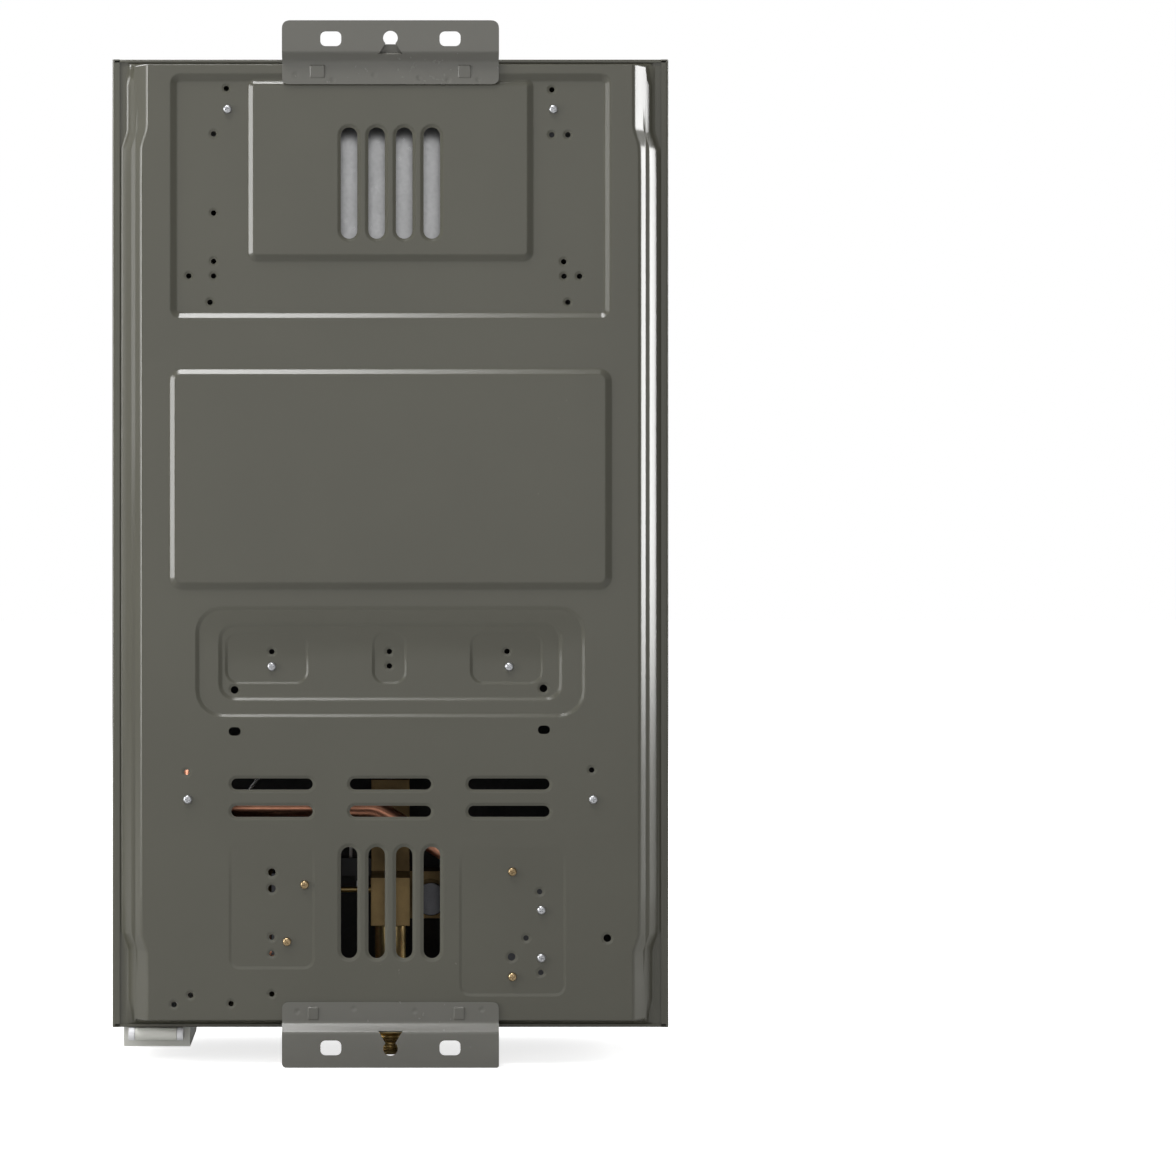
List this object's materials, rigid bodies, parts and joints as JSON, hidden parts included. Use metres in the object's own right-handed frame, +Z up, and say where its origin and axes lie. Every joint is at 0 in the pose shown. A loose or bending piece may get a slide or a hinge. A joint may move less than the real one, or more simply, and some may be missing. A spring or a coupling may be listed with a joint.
{
  "type": "gas water heater",
  "caption": "Wall-hung instantaneous propane water heater: vented steel casing with pressed back pan, two slotted hangers, control knobs, heat exchanger, burner and battery box.",
  "frame": {"origin": "centre of the two slots of the top hanger, on the wall plane (the rear face of its flange)", "axes": "+Z up, +Y into the wall, the front faces -Y, +X to the right seen from the front"},
  "size_m": [0.3683, 0.1827, 0.685],
  "materials": {
    "olive_paint": "semi-gloss olive-grey paint on pressed sheet",
    "brushed_front": "upright brushed stainless steel",
    "sticker_film": "pale satin film",
    "smoked_lens": "dark glossy display window",
    "black_plastic": "fine-textured black moulding",
    "sight_glass": "clear heat-proof glass",
    "satin_chrome": "satin chrome",
    "zinc_steel": "zinc-plated steel",
    "white_plastic": "white polypropylene",
    "grey_plastic": "translucent grey-white polypropylene",
    "cell_wrap": "plain wrapped battery cells",
    "copper": "drawn copper, lightly tarnished",
    "brass": "forged and turned brass",
    "foil": "crinkled aluminium foil",
    "galvanised": "galvanised sheet with a soft spangle",
    "burner_steel": "stamped ferritic stainless",
    "cast_alloy": "die-cast aluminium",
    "seal_rubber": "black nitrile rubber",
    "solenoid_can": "turned aluminium can",
    "ceramic": "glazed white ceramic",
    "board_green": "solder-masked circuit board",
    "capacitor_blue": "blue and tan electronic components",
    "wire_cover": "silicone and PVC wire covering"
  },
  "bodies": {
    "heater": {"back_plate": "olive_paint", "top_hanger": "olive_paint", "bottom_hanger": "olive_paint", "casing_left": "olive_paint", "casing_right": "olive_paint", "casing_top": "olive_paint", "casing_bottom": "olive_paint", "front_panel": "brushed_front", "side_sticker": "sticker_film", "display_lens": "smoked_lens", "display_housing": "black_plastic", "sight_glass": "sight_glass", "sight_ring": "satin_chrome", "knob_bezels": "black_plastic", "shower_clip": "black_plastic", "battery_box": "white_plastic", "battery_door_pin": "zinc_steel", "battery_cells": "cell_wrap", "chamber_shell": "copper", "exchanger_fins": "copper", "exchanger_tubes": "copper", "exchanger_coil": "copper", "foil_wrap": "foil", "flue_hood": "galvanised", "hood_brackets": "galvanised", "burner_rack": "galvanised", "burner_bars": "burner_steel", "gas_manifold": "cast_alloy", "gas_jets": "brass", "gas_riser": "cast_alloy", "gas_valve": "cast_alloy", "water_valve": "brass", "diaphragm": "seal_rubber", "diaphragm_cover": "brass", "solenoid": "solenoid_can", "micro_switch": "black_plastic", "spark_electrodes": "ceramic", "pipe_fittings": "brass", "cold_pipe": "copper", "riser_pipe": "copper", "hot_pipe": "copper", "drain_tube": "brass", "board_tray": "white_plastic", "control_board": "board_green", "board_components": "capacitor_blue", "wire_leads": "wire_cover", "valve_brackets": "galvanised", "silver_screws": "zinc_steel", "brass_screws": "brass"},
    "season_control": {"season_knob": "satin_chrome", "season_spindle": "zinc_steel"},
    "gas_control": {"gas_knob": "satin_chrome", "gas_spindle": "zinc_steel"},
    "water_control": {"water_knob": "satin_chrome", "water_spindle": "brass"},
    "battery_lid": {"battery_door": "grey_plastic", "battery_springs": "zinc_steel"},
    "valve_rod": {"push_rod": "brass"},
    "switch_arm": {"switch_lever": "zinc_steel"},
    "drain_screw": {"drain_plug": "black_plastic"}
  },
  "joints": [
    {"name": "season_turn", "type": "hinge", "parent": "heater", "child": "season_control", "pos_m": [0, -0.165, -0.508], "axis": [0, -1, 0], "range_deg": [-45, 45]},
    {"name": "gas_turn", "type": "hinge", "parent": "heater", "child": "gas_control", "pos_m": [-0.09, -0.165, -0.568], "axis": [0, -1, 0], "range_deg": [-135, 135]},
    {"name": "water_turn", "type": "hinge", "parent": "heater", "child": "water_control", "pos_m": [0.09, -0.165, -0.568], "axis": [0, -1, 0], "range_deg": [-135, 135]},
    {"name": "battery_lid_swing", "type": "hinge", "parent": "heater", "child": "battery_lid", "pos_m": [0.155, -0.0245, -0.6546], "axis": [1, 0, 0], "range_deg": [0, 90]},
    {"name": "valve_rod_slide", "type": "slide", "parent": "heater", "child": "valve_rod", "axis": [-1, 0, 0], "range_m": [0, 0.004], "stiffness_N_per_m": 150},
    {"name": "switch_arm_swing", "type": "hinge", "parent": "heater", "child": "switch_arm", "pos_m": [0.0227, -0.09, -0.5579], "axis": [0, 1, 0], "range_deg": [0, 35]},
    {"name": "drain_screw_turn", "type": "hinge", "parent": "heater", "child": "drain_screw", "pos_m": [0.068, -0.096, -0.656], "axis": [0, 0, 1], "range_deg": [0, 720]}
  ],
  "couplings": [
    {"joint": "switch_arm_swing", "follows": "valve_rod_slide", "rad_per_m": 150}
  ]
}
